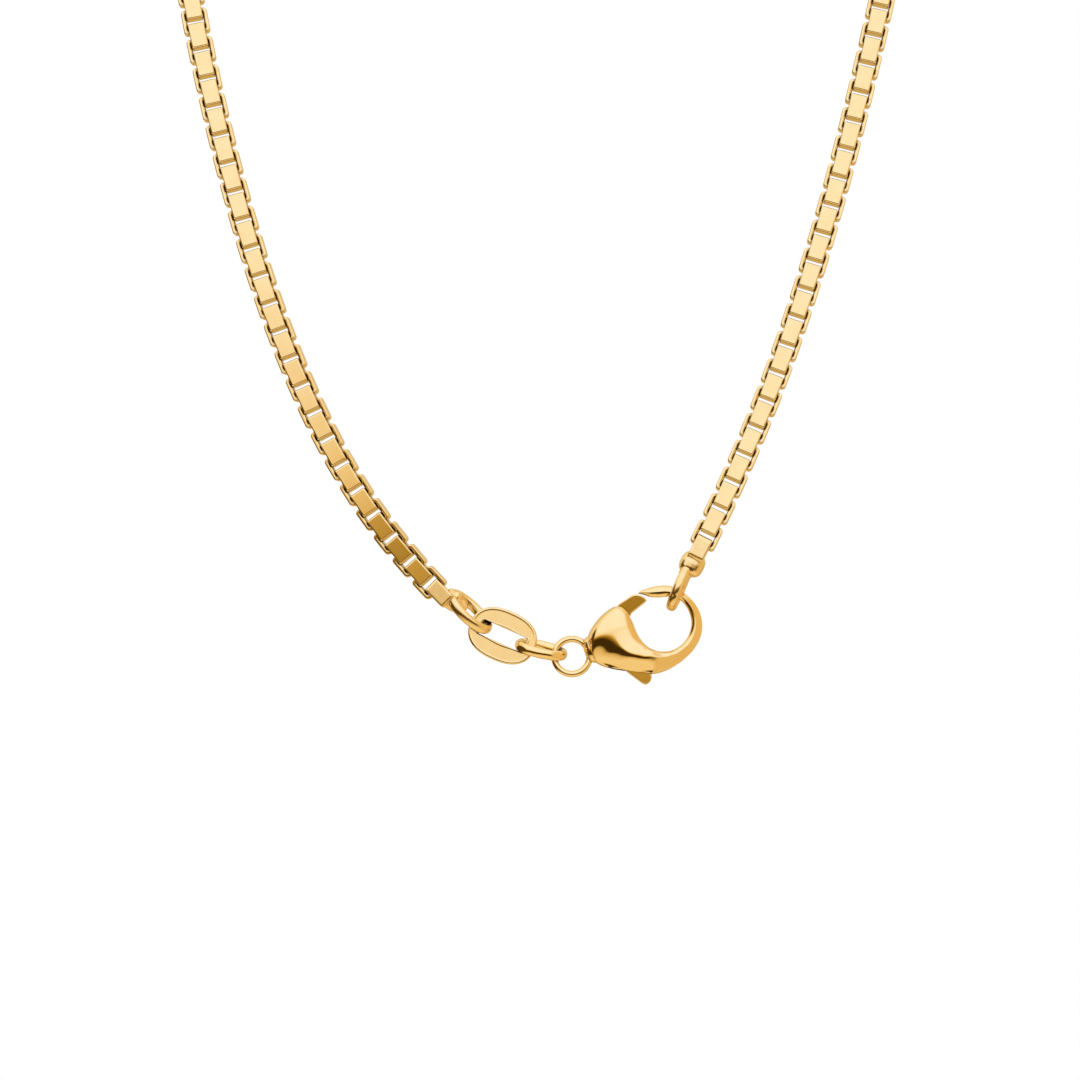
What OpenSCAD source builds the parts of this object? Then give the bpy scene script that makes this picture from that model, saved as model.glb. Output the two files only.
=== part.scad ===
// Box chain necklace with a lobster clasp, fastened and hanging as one loop.
// Millimetres. X is to the right seen from the front, Y is away from the front, Z is up.
// The whole loop lies in the plane Y = 0. The origin is at the inner side of the loop's top.

/* [Chain] */
// Length of the whole necklace, clasp included, along its middle
necklace_l = 450; // [400:2:600]
// Width of the chain across two opposite plates
chain_w = 2; // [1.94:0.01:2.1]
// Width of the strip that each box link is bent from
strip_w = 1.15; // [1.1:0.01:1.2]
// Thickness of that strip
strip_t = 0.28; // [0.22:0.01:0.29]
// Outer length of a box link along the chain
link_l = 1.89; // [1.84:0.01:1.96]
// Distance from one box link to the next one along the chain
link_pitch = 1.1175; // [1.08:0.0025:1.15]
// Outer corner radius of a box link
link_corner_r = 0.25; // [0.2:0.01:0.35]
// Inner corner radius of a box link
link_inner_r = 0.08; // [0.05:0.01:0.12]
// Number of loose links in each of the two front strands
loose_links = 118; // [60:2:122]

/* [Hang] */
// Length of the left strand whose curve is given by its table
left_curve_l = 49.3; // [40:0.1:60]
// Length of the right strand whose curve is given by its table
right_curve_l = 44; // [36:0.1:56]

/* [Left end] */
// Wire of the left end's loop
left_wire = 0.64; // [0.55:0.01:0.68]
// Outer length of the left end's loop
left_loop_l = 4.4; // [4:0.05:5]
// Outer width of the left end's loop
left_loop_w = 2.55; // [2.3:0.05:2.9]
// Turn of the left end's loop about its own length
left_loop_turn = 56; // [45:1:70]
// Length of the soldered taper below the left strand's last link
left_taper_l = 0.75; // [0.5:0.05:1]

/* [Right end] */
// Wire of the right end's loop
right_wire = 0.6; // [0.5:0.01:0.7]
// Outer length of the right end's loop
right_loop_l = 3.8; // [3.5:0.05:4.4]
// Outer width of the right end's loop
right_loop_w = 2.4; // [2.2:0.05:2.8]
// Turn of the right end's loop about its own length
right_loop_turn = 78; // [70:1:88]
// Length of the solder cap below the right strand's last link
right_cap_l = 1.4; // [1.2:0.05:1.6]
// Width of the solder cap where it holds the link
right_cap_w = 1.75; // [1.5:0.05:1.9]
// Free play between the right loop and the hook it hangs on
hook_play = 0.45; // [0.3:0.05:0.6]

/* [Loose links by the clasp] */
// Outer length of the flat oval link
oval_l = 5.3; // [5:0.05:5.8]
// Outer width of the flat oval link
oval_w = 3.9; // [3.5:0.05:4.2]
// Thickness of the flat oval link
oval_t = 0.36; // [0.28:0.02:0.5]
// Length of the slot in the flat oval link
slot_l = 3.64; // [3.4:0.02:3.9]
// Width of the slot in the flat oval link
slot_w = 1.16; // [1.12:0.02:1.28]
// Wire of the wire link
wire_link_wire = 0.62; // [0.5:0.01:0.66]
// Outer length of the wire link
wire_link_l = 4.05; // [3.8:0.05:4.6]
// Outer width of the wire link
wire_link_w = 2.9; // [2.6:0.05:3.2]
// Turn of the wire link about its own length
wire_link_turn = 72; // [65:1:85]
// Free play between pieces that hang in each other
play = 0.1; // [0.08:0.01:0.14]
// Free play of the left end's loop, which hangs at an angle in the slot
loop_play = 0.2; // [0.18:0.01:0.26]

/* [Clasp] */
// Radius of the hook's opening
hook_r = 2.05; // [1.95:0.05:2.2]
// Greatest thickness of the clasp's body, front to back
body_t = 2.9; // [2.7:0.05:3.3]
// Outer radius of the clasp's end ring
ring_r = 1.58; // [1.52:0.02:1.8]
// Wire of the clasp's end ring
ring_wire = 0.5; // [0.42:0.01:0.54]
// Thickness of the lever
lever_t = 1.1; // [0.9:0.05:1.2]
// Clearance between the lever and each cheek of its slot
lever_gap = 0.08; // [0.06:0.01:0.12]
// Radius of the lever's pivot eye
eye_r = 0.66; // [0.6:0.02:0.72]
// Radius of the rivet
pin_r = 0.3; // [0.25:0.01:0.34]
// Running clearance between the rivet and the lever's bore
pin_gap = 0.04; // [0.03:0.01:0.06]
// How far the lever opens, in degrees
lever_open = 20; // [15:1:20]

/* [Hidden] */
gold = [0.93, 0.74, 0.38];
wire_fn = 32;

// Curve of the left strand, from the clasp up: share of its length, degrees from upright
left_table = [
    [0, 44.3], [0.1, 39.2], [0.2, 32.8], [0.3, 27.2], [0.4, 23.2], [0.5, 20],
    [0.6, 17.4], [0.7, 15.4], [0.8, 13.8], [0.9, 12.4], [1, 10.9]
];
// The same for the right strand
right_table = [[0, 26.8], [0.2, 23.1], [0.4, 19.1], [0.6, 16.2], [0.8, 14.1], [1, 12.6]];
// Turn of the left strand's face-on links about the chain: share of the curve's length, degrees
turn_table = [
    [0, -7], [0.05, -8], [0.1, -9], [0.14, -9], [0.18, -7.2], [0.23, -5.8],
    [0.35, -6.2], [0.45, -5.7], [0.55, -4.8], [0.62, -3], [1, 0]
];
// The links seen edge on are turned this many times as much
edge_on_turn = 1.2;

// The claw in sections that all stand on the middle of the hook's opening.
// Columns: direction in degrees, inner and outer edge in hook radii, thickness as a share of body_t
ANGLE = 0;
INNER = 1;
OUTER = 2;
THICK = 3;
claw = [
    [156.5, 1.66, 1.8, 0.3],
    [160, 1.5, 1.98, 0.62],
    [164, 1.34, 2.09, 0.74],
    [170, 1.24, 2.28, 0.88],
    [175, 1.17, 2.44, 0.95],
    [180, 1.12, 2.59, 0.99],
    [184, 1.1, 2.73, 1],
    [190, 1.07, 2.9, 0.99],
    [198, 1.045, 2.96, 0.96],
    [208, 1.03, 2.93, 0.91],
    [215, 1.02, 2.71, 0.87],
    [222, 1.02, 2.47, 0.83],
    [230, 1.02, 2.22, 0.78],
    [245, 1.02, 1.96, 0.69],
    [258, 1.01, 1.86, 0.61],
    [271, 1, 1.71, 0.53],
    [287, 0.99, 1.55, 0.45],
    [305, 0.98, 1.45, 0.37],
    [323, 0.98, 1.42, 0.32],
    [341, 0.98, 1.42, 0.3],
    [358, 1, 1.41, 0.29],
    [375, 1.02, 1.4, 0.28],
    [394, 1.05, 1.38, 0.27],
    [415, 1.09, 1.39, 0.26],
    [435, 1.07, 1.45, 0.27],
    [447, 1.04, 1.46, 0.28],
    [460, 1.02, 1.455, 0.28],
    [474, 1.11, 1.475, 0.25],
    [480, 1.21, 1.505, 0.2],
    [484.5, 1.36, 1.53, 0.13],
    [488.5, 1.48, 1.52, 0.05]
];
claw_sides = 16;
// How square a section is on the side of the opening, by direction: 1 is an ellipse
claw_square = [[156, 0.5], [164, 0.35], [222, 0.35], [300, 1], [488, 1]];
// How far a section's crest lies towards the opening, in half widths, by direction
claw_crest = [[156, 0.1], [184, 0.15], [208, 0.2], [245, 0.35], [435, 0.3], [460, 0.1], [488, 0]];

// Directions of the pieces between the clasp and the left strand, degrees from X
neck_dir = 199;
wire_link_dir = 167.2;
oval_dir = 156;
left_loop_dir = 136;
// How far the flat link lies above the wire at the right end of its slot
oval_lift = 0.1;
slot_corner_r = 0.2;
// Place of the right loop on the hook, and its lean from upright
hook_seat_dir = 428;
right_loop_lean = 23.6;
// The left strand's last link from the near wire of its loop: along the chain, and across it
left_link_up = 0.66;
left_link_out = 0.55;
// The same at the right end
right_link_up = 1.73;
right_link_out = 0.15;
// How deep the end ring is soldered into the neck
neck_solder = 0.26;

// Arms of the lever from its pivot, closed, in hook radii: the gate, then the thumb tab
gate_arm = [
    [-0.1, 0.2], [-0.12, 0.9], [-0.19, 1.28], [0.42, 1.67], [0.69, 1.65],
    [0.91, 1.49], [0.88, 1.41], [0.31, 0.96], [0.24, 0.2]
];
thumb_arm = [
    [-0.06, -0.2], [0.12, -1.15], [0.58, -1.49], [0.8, -1.66], [0.99, -1.62],
    [1.1, -1.42], [1.08, -1.25], [0.2, -0.25]
];
// The slot's two fans, closed and open positions together: directions in degrees, reach in hook radii
gate_fan = [45 - lever_open, 107];
gate_fan_reach = 1.5;
thumb_fan = [-98 - lever_open, -44];
thumb_fan_reach = 2;
pivot_at = [-1.55, -0.556];
// Clearance round the lever's eye
eye_clear = 0.24;
slot_t = lever_t + 2 * lever_gap;
// Rivet's half length, and the end clearance of its blind bore
pin_half = lever_t / 2 + 0.5;
pin_end_gap = 0.02;

// Solder inside the far bend of the left end's loop: radius, thickness, distance above the bend's middle
left_fill_r = 0.78;
left_fill_t = 0.5;
left_fill_up = 0.1;
// Radius at the small end of the right end's solder cap
right_cap_tip_r = right_wire * 0.7;
// Thickness of the thin plates that the solder's forms are stretched between
skin = 0.02;

// The chain's rounded outline: eight corners that the links' edges reach
outline_in = strip_w / 2;
outline_out = chain_w / 2;
outline = [
    [outline_out, outline_in], [outline_in, outline_out], [-outline_in, outline_out],
    [-outline_out, outline_in], [-outline_out, -outline_in], [-outline_in, -outline_out],
    [outline_in, -outline_out], [outline_out, -outline_in]
];
back_gap = 0.15;
back_ring_every = 4;

function dir(a) = [cos(a), sin(a)];
function claw_at(angle, column) = lookup(angle, [for (row = claw) [row[ANGLE], row[column]]]);
function lean_left(share) = lookup(share, left_table);
function lean_right(share) = lookup(share, right_table);

// Pieces from the hook's middle to the left strand, each hung in the one before it
pivot = pivot_at * hook_r;
ring_at = dir(neck_dir) * (claw_at(neck_dir, OUTER) * hook_r + ring_r - neck_solder);
wire_near = ring_at + dir(wire_link_dir) * (ring_r - ring_wire - play - wire_link_wire / 2);
wire_link_at = wire_near + dir(wire_link_dir) * (wire_link_l - wire_link_wire) / 2;
wire_far = wire_near + dir(wire_link_dir) * (wire_link_l - wire_link_wire);
oval_up = dir(oval_dir - 90);
oval_at = wire_far + dir(oval_dir) * (slot_l / 2 - play - wire_link_wire / 2) + oval_up * oval_lift;
loop_near = oval_at + dir(oval_dir) * (slot_l / 2 - loop_play - left_wire / 2);
left_loop_at = loop_near + dir(left_loop_dir) * (left_loop_l - left_wire) / 2;
loop_far = loop_near + dir(left_loop_dir) * (left_loop_l - left_wire);
left_lean = lean_left(0);
left_start = loop_far + left_link_up * dir(90 + left_lean) + left_link_out * dir(180 + left_lean);

// The right loop on the hook, and the right strand's last link
right_up = dir(90 - right_loop_lean);
hook_seat = dir(hook_seat_dir) * claw_at(hook_seat_dir, INNER) * hook_r;
right_near = hook_seat - right_up * (hook_play + right_wire / 2);
right_loop_at = right_near + right_up * (right_loop_l - right_wire) / 2;
right_far = right_near + right_up * (right_loop_l - right_wire);
right_lean = lean_right(0);
right_start = right_far + right_link_up * dir(90 - right_lean) + right_link_out * dir(-right_lean);

// The chain's stations: one for each link, [x, z, direction of travel in degrees]
left_n = round(left_curve_l / link_pitch);
right_n = round(right_curve_l / link_pitch);
left_stations = [
    for (
        k = 0, p = left_start, a = 90 + left_lean;
        k <= left_n;
        a = 90 + lean_left((k + 0.5) / left_n), p = p + link_pitch * dir(a), k = k + 1
    ) [p[0], p[1], 90 + lean_left(k / left_n)]
];
right_stations = [
    for (
        k = 0, p = right_start, a = 90 - right_lean;
        k <= right_n;
        a = 90 - lean_right((k + 0.5) / right_n), p = p + link_pitch * dir(a), k = k + 1
    ) [p[0], p[1], -90 - lean_right(k / right_n)]
];

// The hidden stretch leaves both strands straight and closes in one arc round the neck
clasp_l = norm(left_start - ring_at) + norm(ring_at - hook_seat) + norm(right_start - hook_seat);
link_count = 2 * round((necklace_l - clasp_l) / link_pitch / 2);
hidden_l = (link_count - left_n - right_n) * link_pitch;
left_top = left_stations[left_n];
right_top = right_stations[right_n];
a_left = left_top[2] - 90;
a_right = -90 - right_top[2];
half = (a_left + a_right) / 2;
right_to_v = (right_top[0] - left_top[0] - tan(a_left) * (left_top[1] - right_top[1]))
    / (sin(a_right) + tan(a_left) * cos(a_right));
left_to_v = (left_top[1] - right_top[1] + right_to_v * cos(a_right)) / cos(a_left);
v_point = [left_top[0] + left_to_v * sin(a_left), left_top[1] - left_to_v * cos(a_left)];
arc_turn = 180 + 2 * half;
arc_r = (hidden_l + left_to_v + right_to_v) / (2 / tan(half) + arc_turn * PI / 180);
arc_c = v_point + dir(90 + (a_left - a_right) / 2) * arc_r / sin(half);
straight_left = arc_r / tan(half) - left_to_v;
arc_l = arc_r * arc_turn * PI / 180;

// First and last place of the tube that stands for the hidden stretch, counted in links
back_first = loose_links + (link_l / 2 + back_gap) / link_pitch;
back_last = link_count - loose_links - (link_l / 2 + back_gap) / link_pitch;
back_rings = ceil((back_last - back_first) / back_ring_every);

function hidden(s) =
    s < straight_left ? concat([left_top[0], left_top[1]] + s * dir(left_top[2]), left_top[2])
    : s < straight_left + arc_l ? on_arc(left_top[2] - (s - straight_left) / arc_r * 180 / PI)
    : concat([right_top[0], right_top[1]] - (hidden_l - s) * dir(right_top[2]), right_top[2]);
function on_arc(heading) = concat(arc_c + arc_r * dir(heading + 90), heading);
function station(k) =
    k <= left_n ? left_stations[k]
    : k >= link_count - right_n ? right_stations[link_count - k]
    : hidden((k - left_n) * link_pitch);
function station_between(k) =
    let (lo = floor(k), f = k - lo, p = station(lo), q = station(min(lo + 1, link_count)))
    p + f * (q - p);
function twist(k) = k <= left_n ? lookup(k / left_n, turn_table) * (k % 2 == 1 ? edge_on_turn : 1) : 0;
function link_turn(k) = k % 2 * 90 + twist(k);

// Origin: under the inner side of the chain at the top of the arc
hang = [arc_c[0], arc_c[1] + arc_r - chain_w / 2];

// Puts a child made round the hook's middle into the part's frame
module in_frame() {
    translate([-hang[0], 0, -hang[1]]) children();
}

// Stands a child at a station: its Z along the chain, turned about it
module at_station(s, turn) {
    translate([s[0], 0, s[1]]) rotate([0, 90 - s[2], 0]) rotate([0, 0, turn]) children();
}

// Stands a child at a point of the plane: its Z along a direction, turned about it
module along(point, angle, turn) {
    translate([point[0], 0, point[1]]) rotate([0, 90 - angle, 0]) rotate([0, 0, turn]) children();
}

function round_corners(w, h, r, steps) = [
    for (c = [0:3], i = [0:steps])
        let (sx = c == 0 || c == 3 ? 1 : -1, sz = c < 2 ? 1 : -1)
        [sx * (w / 2 - r), sz * (h / 2 - r)] + r * dir(90 * c + 90 * i / steps)
];

// One box link: a strip bent into a closed frame, its hole along Y
module box_link() {
    rotate([90, 0, 0]) linear_extrude(height = strip_w, center = true) difference() {
        polygon(round_corners(chain_w, link_l, link_corner_r, 3));
        polygon(round_corners(chain_w - 2 * strip_t, link_l - 2 * strip_t, link_inner_r, 1));
    }
}

module links(first, last) {
    for (k = [first:last]) at_station(station(k), link_turn(k) + 90) box_link();
}

// Half of a round wire bend, in the plane of X and Z, above Z = 0
module wire_bend(mid_r, wire) {
    rotate([90, 0, 0]) rotate_extrude(angle = 180, $fn = 64) translate([mid_r, 0]) circle(wire / 2, $fn = wire_fn);
}

// Oval loop of round wire, its length along Z, lying in the plane of X and Z
module wire_loop(l, w, wire) {
    mid_r = (w - wire) / 2;
    straight = l - w;
    translate([0, 0, straight / 2]) wire_bend(mid_r, wire);
    translate([0, 0, -straight / 2]) rotate([0, 180, 0]) wire_bend(mid_r, wire);
    for (side = [-1, 1]) translate([side * mid_r, 0, 0])
        cylinder(r = wire / 2, h = straight, center = true, $fn = wire_fn);
}

module left_end() {
    color(gold) in_frame() union() {
        at_station(left_stations[0], link_turn(0) + 90) {
            box_link();
            hull() {
                translate([0, 0, -link_l / 2 + strip_t]) cube([chain_w - 0.1, strip_w, skin], center = true);
                translate([0, 0, -link_l / 2 - left_taper_l + skin])
                    cylinder(r = left_wire / 2, h = skin, $fn = 16);
            }
        }
        along(left_loop_at, left_loop_dir, left_loop_turn) {
            wire_loop(left_loop_l, left_loop_w, left_wire);
            translate([0, 0, (left_loop_l - left_loop_w) / 2 + left_fill_up]) rotate([90, 0, 0])
                disc(left_fill_r, left_fill_t);
        }
    }
}

module chain_left() {
    color(gold) in_frame() links(1, loose_links);
}

module chain_right() {
    color(gold) in_frame() links(link_count - loose_links, link_count - 1);
}

// Side and end faces of a tube of n rings with m points each
function tube_faces(n, m) = concat(
    [[for (j = [0:m - 1]) j]],
    [[for (j = [0:m - 1]) n * m - 1 - j]],
    [for (i = [0:n - 2], j = [0:m - 1])
        [i * m + j, (i + 1) * m + j, (i + 1) * m + (j + 1) % m, i * m + (j + 1) % m]]
);

// Hidden stretch of the chain round the neck
module chain_back() {
    points = [
        for (i = [0:back_rings])
            let (s = station_between(back_first + (back_last - back_first) * i / back_rings))
            for (c = outline) [s[0] + c[0] * sin(s[2]), c[1], s[1] - c[0] * cos(s[2])]
    ];
    color(gold) in_frame() polyhedron(points, tube_faces(back_rings + 1, len(outline)));
}

module right_end() {
    last = right_stations[0];
    color(gold) in_frame() union() {
        along(last, last[2], 90) box_link();
        along(last, 90 - right_lean, 0) hull() {
            translate([0, 0, -link_l / 2 + strip_t / 2]) cube([right_cap_w, right_cap_w, skin], center = true);
            translate([0, 0, -link_l / 2 - right_cap_l / 3])
                cube([right_cap_w, right_cap_w, skin], center = true);
            translate([-right_link_out, 0, -link_l / 2 - right_cap_l])
                cylinder(r = right_cap_tip_r, h = skin, $fn = 16);
        }
        along(right_loop_at, 90 - right_loop_lean, right_loop_turn)
            wire_loop(right_loop_l, right_loop_w, right_wire);
    }
}

function oval(l, w, power, n) = [
    for (i = [0:n - 1])
        let (a = 360 * i / n, c = cos(a), s = sin(a))
        [w / 2 * sign(c) * pow(abs(c), power), l / 2 * sign(s) * pow(abs(s), power)]
];

// Flat oval link, seen face on
module oval_link() {
    color(gold) in_frame() along(oval_at, oval_dir, 0)
        rotate([90, 0, 0]) linear_extrude(height = oval_t, center = true) difference() {
            polygon(oval(oval_l, oval_w, 0.85, 48));
            polygon(round_corners(slot_w, slot_l, slot_corner_r, 3));
        }
}

// Oval wire link between the flat link and the clasp
module wire_link() {
    color(gold) in_frame() along(wire_link_at, wire_link_dir, wire_link_turn)
        wire_loop(wire_link_l, wire_link_w, wire_link_wire);
}

function claw_ring(row) =
    let (mid = (row[INNER] + row[OUTER]) / 2 * hook_r, reach = (row[OUTER] - row[INNER]) / 2 * hook_r)
    [
        for (j = [0:claw_sides - 1])
            let (
                a = 360 * j / claw_sides,
                crest = lookup(row[ANGLE], claw_crest) * pow(sin(a), 2),
                p = (mid + reach * (cos(a) - crest)) * dir(row[ANGLE]),
                power = cos(a) < 0 ? lookup(row[ANGLE], claw_square) : 1
            )
            [p[0], row[THICK] * body_t / 2 * sign(sin(a)) * pow(abs(sin(a)), power), p[1]]
    ];

module claw_form() {
    polyhedron(
        [for (row = claw) for (p = claw_ring(row)) p],
        tube_faces(len(claw), claw_sides)
    );
}

function fan(limits, reach) = concat(
    [[0, 0]],
    [for (i = [0:6]) reach * dir(limits[0] + (limits[1] - limits[0]) * i / 6)]
);

// Puts children that are drawn in X and Y round the pivot, and are thick along Z
module about_pivot() {
    translate([pivot[0], 0, pivot[1]]) rotate([90, 0, 0]) children();
}

module plate(outline, t) {
    linear_extrude(height = t, center = true) polygon(outline);
}

module disc(r, t) {
    cylinder(r = r, h = t, center = true, $fn = 48);
}

module clasp_body() {
    color(gold) in_frame() union() {
        difference() {
            claw_form();
            about_pivot() {
                plate(fan(gate_fan, gate_fan_reach * hook_r), slot_t);
                plate(fan(thumb_fan, thumb_fan_reach * hook_r), slot_t);
                disc(eye_r + eye_clear, slot_t);
                disc(pin_r + pin_end_gap, 2 * (pin_half + pin_end_gap));
            }
        }
        translate([ring_at[0], 0, ring_at[1]]) rotate([90, 0, 0]) rotate_extrude($fn = 64)
            translate([ring_r - ring_wire / 2, 0]) circle(ring_wire / 2, $fn = wire_fn);
    }
}

module clasp_lever() {
    color(gold) in_frame() about_pivot() difference() {
        union() {
            plate(gate_arm * hook_r, lever_t);
            plate(thumb_arm * hook_r, lever_t);
            disc(eye_r, lever_t);
        }
        disc(pin_r + pin_gap, lever_t + 1);
    }
}

module clasp_pin() {
    color(gold) in_frame() about_pivot() disc(pin_r, 2 * pin_half);
}

left_end();
chain_left();
chain_back();
chain_right();
right_end();
oval_link();
wire_link();
clasp_body();
clasp_lever();
clasp_pin();
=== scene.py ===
"""Box chain necklace with a lobster clasp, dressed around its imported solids.

Lengths are in millimetres and angles in degrees, and points become metres where a mesh is made.
Sizes, tables and layout repeat those of the solids, because this script reads nothing but the frame.
"""
import math
import bmesh
import bpy
import numpy as np
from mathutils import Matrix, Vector, noise


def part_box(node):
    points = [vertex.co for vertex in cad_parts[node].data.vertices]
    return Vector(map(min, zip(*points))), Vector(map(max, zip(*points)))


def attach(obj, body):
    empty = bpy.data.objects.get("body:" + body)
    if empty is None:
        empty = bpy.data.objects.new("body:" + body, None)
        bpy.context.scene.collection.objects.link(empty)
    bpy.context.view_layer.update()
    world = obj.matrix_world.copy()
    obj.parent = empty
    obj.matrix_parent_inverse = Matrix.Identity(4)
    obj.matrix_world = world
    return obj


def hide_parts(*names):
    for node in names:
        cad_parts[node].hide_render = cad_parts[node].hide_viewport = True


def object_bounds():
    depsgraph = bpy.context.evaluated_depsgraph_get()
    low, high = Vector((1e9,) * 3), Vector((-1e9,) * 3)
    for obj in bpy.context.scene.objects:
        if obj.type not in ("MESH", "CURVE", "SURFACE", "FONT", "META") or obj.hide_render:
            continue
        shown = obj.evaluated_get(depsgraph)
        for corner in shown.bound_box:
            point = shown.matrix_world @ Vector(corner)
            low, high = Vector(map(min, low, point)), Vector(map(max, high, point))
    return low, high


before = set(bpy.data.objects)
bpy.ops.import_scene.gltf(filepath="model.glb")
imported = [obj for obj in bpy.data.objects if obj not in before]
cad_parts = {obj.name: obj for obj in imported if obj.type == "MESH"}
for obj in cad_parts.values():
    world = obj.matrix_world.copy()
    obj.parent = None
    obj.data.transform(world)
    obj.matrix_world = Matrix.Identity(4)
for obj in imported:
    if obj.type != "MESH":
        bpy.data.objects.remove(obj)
cad_low, cad_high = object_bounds()
MM = 0.001

# Chain
NECKLACE_L = 450
CHAIN_W = 2
STRIP_W = 1.15
STRIP_T = 0.28
LINK_L = 1.89
LINK_PITCH = 1.1175
LOOSE_LINKS = 118
LEFT_CURVE_L = 49.3
RIGHT_CURVE_L = 44

# Left end
LEFT_WIRE = 0.64
LEFT_LOOP_L = 4.4
LEFT_LOOP_W = 2.55
LEFT_LOOP_TURN = 56
LEFT_TAPER_L = 0.75
LEFT_PART_TURN = -4.3
LEFT_LOOP_DIR = 136
LEFT_LINK_UP = 0.66
LEFT_LINK_OUT = 0.55

# Right end
RIGHT_WIRE = 0.6
RIGHT_LOOP_L = 3.8
RIGHT_LOOP_W = 2.4
RIGHT_LOOP_LEAN = 23.6
RIGHT_CAP_L = 1.4
RIGHT_LINK_UP = 1.73
RIGHT_LINK_OUT = 0.15
HOOK_PLAY = 0.45
HOOK_SEAT_DIR = 428

# Flat link and wire link
OVAL_L = 5.3
OVAL_W = 3.9
OVAL_T = 0.36
OVAL_POWER = 0.85
OVAL_DIR = 156
OVAL_LIFT = 0.1
SLOT_L = 3.64
SLOT_W = 1.16
SLOT_CORNER_R = 0.2
WIRE_LINK_WIRE = 0.62
WIRE_LINK_L = 4.05
WIRE_LINK_W = 2.9
WIRE_LINK_TURN = 72
WIRE_LINK_DIR = 167.2
PLAY = 0.1
LOOP_PLAY = 0.2

# Clasp
HOOK_R = 2.05
BODY_T = 2.9
RING_R = 1.58
RING_WIRE = 0.5
NECK_DIR = 199
NECK_SOLDER = 0.26
LEVER_T = 1.1
LEVER_GAP = 0.08
EYE_R = 0.66
EYE_CLEAR = 0.24
PIN_R = 0.3
PIN_GAP = 0.04
PIN_PAST_LEVER = 0.5
PIN_HALF = LEVER_T / 2 + PIN_PAST_LEVER
PIN_END_GAP = 0.02
LEVER_OPEN = 20
# The slot's two parts, which the lever swings in: border directions round the pivot, and reach
GATE_FAN = (45 - LEVER_OPEN, 102)
GATE_FAN_REACH = 1.5
THUMB_FAN = (-98 - LEVER_OPEN, -48)
THUMB_FAN_REACH = 2
# The lever's pivot from the hook's middle, in hook radii
PIVOT_AT = np.array([-1.55, -0.556])

# Curves of the strands from the clasp up: share of the curve's length, degrees from upright
LEFT_TABLE = [
    (0, 44.3), (0.1, 39.2), (0.2, 32.8), (0.3, 27.2), (0.4, 23.2), (0.5, 20),
    (0.6, 17.4), (0.7, 15.4), (0.8, 13.8), (0.9, 12.4), (1, 10.9),
]
RIGHT_TABLE = [(0, 26.8), (0.2, 23.1), (0.4, 19.1), (0.6, 16.2), (0.8, 14.1), (1, 12.6)]
# Turn of the left strand's face-on links about the chain: share of the curve's length, degrees
TURN_TABLE = [
    (0, -7), (0.05, -8), (0.1, -9), (0.14, -9), (0.18, -7.2), (0.23, -5.8),
    (0.35, -6.2), (0.45, -5.7), (0.55, -4.8), (0.62, -3), (1, 0),
]
# The links seen edge on are turned this many times as much
EDGE_ON_TURN = 1.2

# The claw in sections round the middle of the hook's opening: direction in degrees,
# inner and outer edge in hook radii, thickness as a share of the body's.
# Its faces are finer than the solid's, so that they take the light as in the photograph.
ANGLE, INNER, OUTER, THICK = range(4)
CLAW = np.array([
    (156.5, 1.66, 1.8, 0.3), (160, 1.5, 1.98, 0.62), (164, 1.34, 2.09, 0.74),
    (170, 1.24, 2.28, 0.88), (175, 1.17, 2.44, 0.95), (180, 1.12, 2.59, 0.99),
    (184, 1.1, 2.73, 1), (190, 1.07, 2.9, 0.99), (198, 1.045, 2.96, 0.98),
    (208, 1.03, 2.93, 0.965), (215, 1.02, 2.71, 0.955), (222, 1.02, 2.47, 0.955),
    (230, 1.02, 2.22, 0.94), (245, 1.02, 1.96, 0.87), (258, 1.01, 1.86, 0.76),
    (271, 1, 1.71, 0.63), (287, 0.99, 1.55, 0.5), (305, 0.98, 1.45, 0.4),
    (323, 0.98, 1.42, 0.34), (341, 0.98, 1.42, 0.31), (358, 1, 1.41, 0.29),
    (375, 1.02, 1.4, 0.28), (394, 1.05, 1.38, 0.27), (415, 1.09, 1.39, 0.26),
    (435, 1.07, 1.45, 0.27), (447, 1.04, 1.46, 0.28), (460, 1.02, 1.455, 0.28),
    (474, 1.11, 1.475, 0.25), (480, 1.21, 1.505, 0.2),
    (484.5, 1.36, 1.53, 0.13), (488.5, 1.48, 1.52, 0.05),
])
# How square a section is on the side of the opening, by direction: 1 is an ellipse
CLAW_SQUARE = [(156, 0.5), (164, 0.35), (260, 0.35), (290, 0.4), (488, 0.4)]
# Place of a section's crest: share of its width from the side of the opening
CLAW_CREST = [
    (156, 0.45), (186, 0.45), (192, 0.42), (222, 0.42), (236, 0.4), (250, 0.31), (278, 0.31),
    (320, 0.4), (420, 0.42), (450, 0.45), (488, 0.5),
]
# Share of the crest's height that the outer face loses before its rounded edge
CLAW_FALL = [
    (156, 0.1), (192, 0.02), (197, 0.16), (204, 0.42), (209, 0.58), (214, 0.68), (220, 0.68),
    (228, 0.64), (240, 0.6), (250, 0.6), (262, 0.65), (275, 0.85), (287, 0.95), (420, 0.95),
    (460, 0.5), (488, 0),
]
# How straight the outer face runs before it bends down to its edge: 2 is an ellipse
CLAW_EDGE = [
    (156, 4), (170, 6), (190, 6), (198, 8), (208, 24), (212, 60), (258, 60), (268, 20), (275, 12),
    (420, 10), (460, 3), (488, 2),
]
# Share of the crest's height that the face on the side of the opening loses before its edge
CLAW_INNER_FALL = [(156, 0), (250, 0), (310, 0.28), (415, 0.28), (430, 0.18), (488, 0.18)]
# Least half thickness of the outer face, so that it covers the lever's slot
CLAW_FLOOR = [
    (156, 0), (175, 0), (190, 0.45), (204, 0.52), (211, 0.58), (217, 0.67), (258, 0.68), (264, 0.3), (270, 0),
]
# How sharply the outer face meets its least thickness
FLOOR_BLEND = 14
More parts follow.
